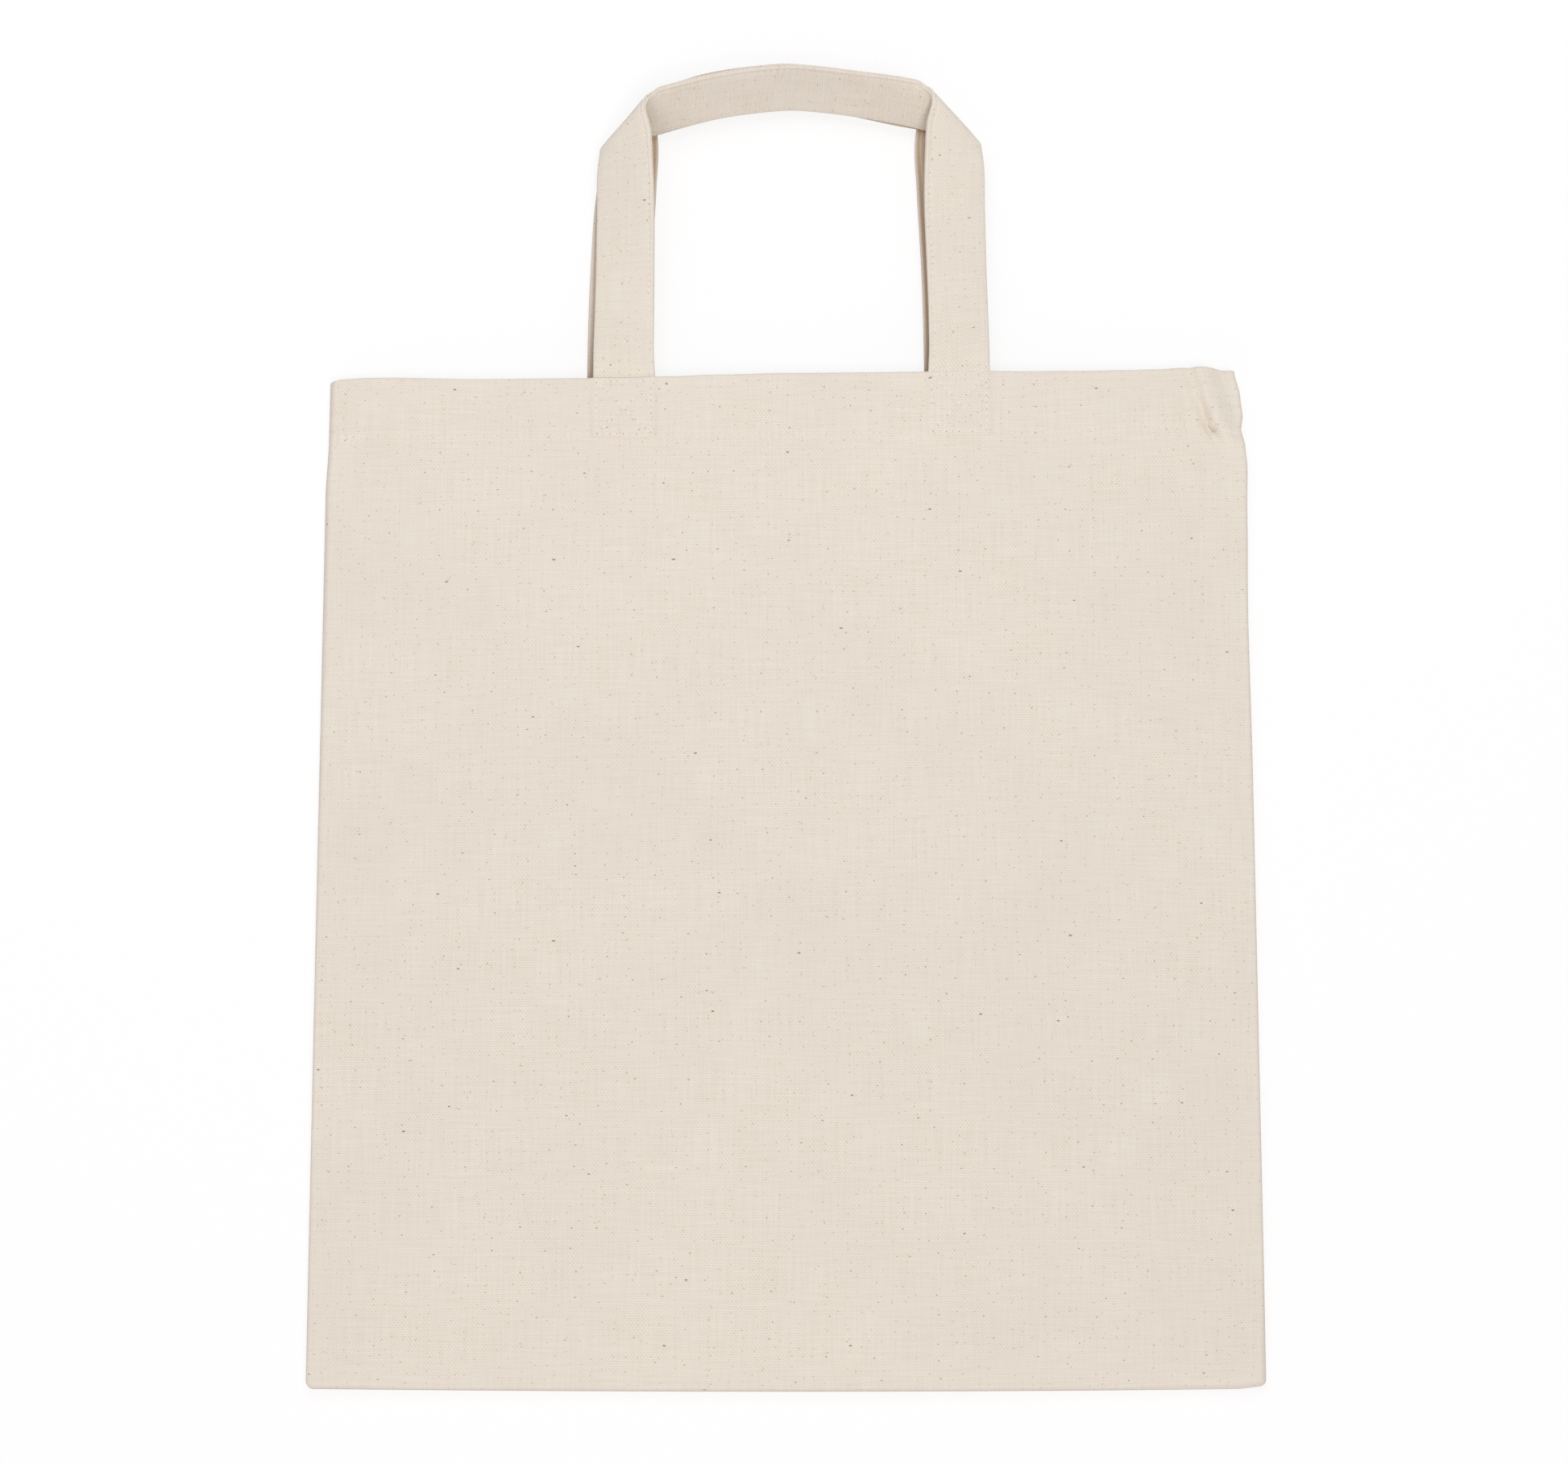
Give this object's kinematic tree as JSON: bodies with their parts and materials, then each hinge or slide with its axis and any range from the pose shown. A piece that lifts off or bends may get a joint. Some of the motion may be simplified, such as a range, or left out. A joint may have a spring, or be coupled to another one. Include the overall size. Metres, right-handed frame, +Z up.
{
  "type": "canvas tote bag",
  "caption": "Flat unprinted natural cotton canvas tote bag with a turned hem at the open mouth and short folded strap handles sewn inside it by crossed boxes of stitching.",
  "frame": {"origin": "middle of the back panel's outer face, on which the bag lies flat", "axes": "+X across the bag, +Y from the bottom seam to the handles, +Z up out of the face that it lies on"},
  "size_m": [0.38, 0.5497, 0.0275],
  "materials": {
    "body_canvas": "plain-woven unbleached cotton",
    "strap_canvas": "four layers of the same canvas",
    "cotton_thread": "twisted cotton sewing thread"
  },
  "bodies": {
    "bag": {"back_panel": "body_canvas", "back_hem": "body_canvas", "left_side_seam": "body_canvas", "right_side_seam": "body_canvas", "bottom_seam": "body_canvas", "left_seam_stitching": "cotton_thread", "right_seam_stitching": "cotton_thread", "bottom_seam_stitching": "cotton_thread", "back_hem_stitching": "cotton_thread", "back_handle_left_end": "strap_canvas", "back_handle_right_end": "strap_canvas", "back_left_box_stitching": "cotton_thread", "back_right_box_stitching": "cotton_thread"},
    "front": {"front_panel": "body_canvas", "front_hem": "body_canvas", "front_hem_stitching": "cotton_thread", "front_handle_left_end": "strap_canvas", "front_handle_right_end": "strap_canvas", "front_left_box_stitching": "cotton_thread", "front_right_box_stitching": "cotton_thread"},
    "front_loop": {"front_handle": "strap_canvas", "front_handle_stitching": "cotton_thread"},
    "back_loop": {"back_handle": "strap_canvas", "back_handle_stitching": "cotton_thread"}
  },
  "joints": [
    {"name": "mouth_opening", "type": "hinge", "parent": "bag", "child": "front", "pos_m": [0, -0.206, 0.002], "axis": [1, 0, 0], "range_deg": [0, 6]},
    {"name": "front_handle_swing", "type": "hinge", "parent": "front", "child": "front_loop", "pos_m": [0.002, 0.2072, 0.0118], "axis": [1, 0, 0], "range_deg": [0, 165]},
    {"name": "back_handle_swing", "type": "hinge", "parent": "bag", "child": "back_loop", "pos_m": [0, 0.2072, 0.0008], "axis": [1, 0, 0], "range_deg": [-165, 0]}
  ]
}
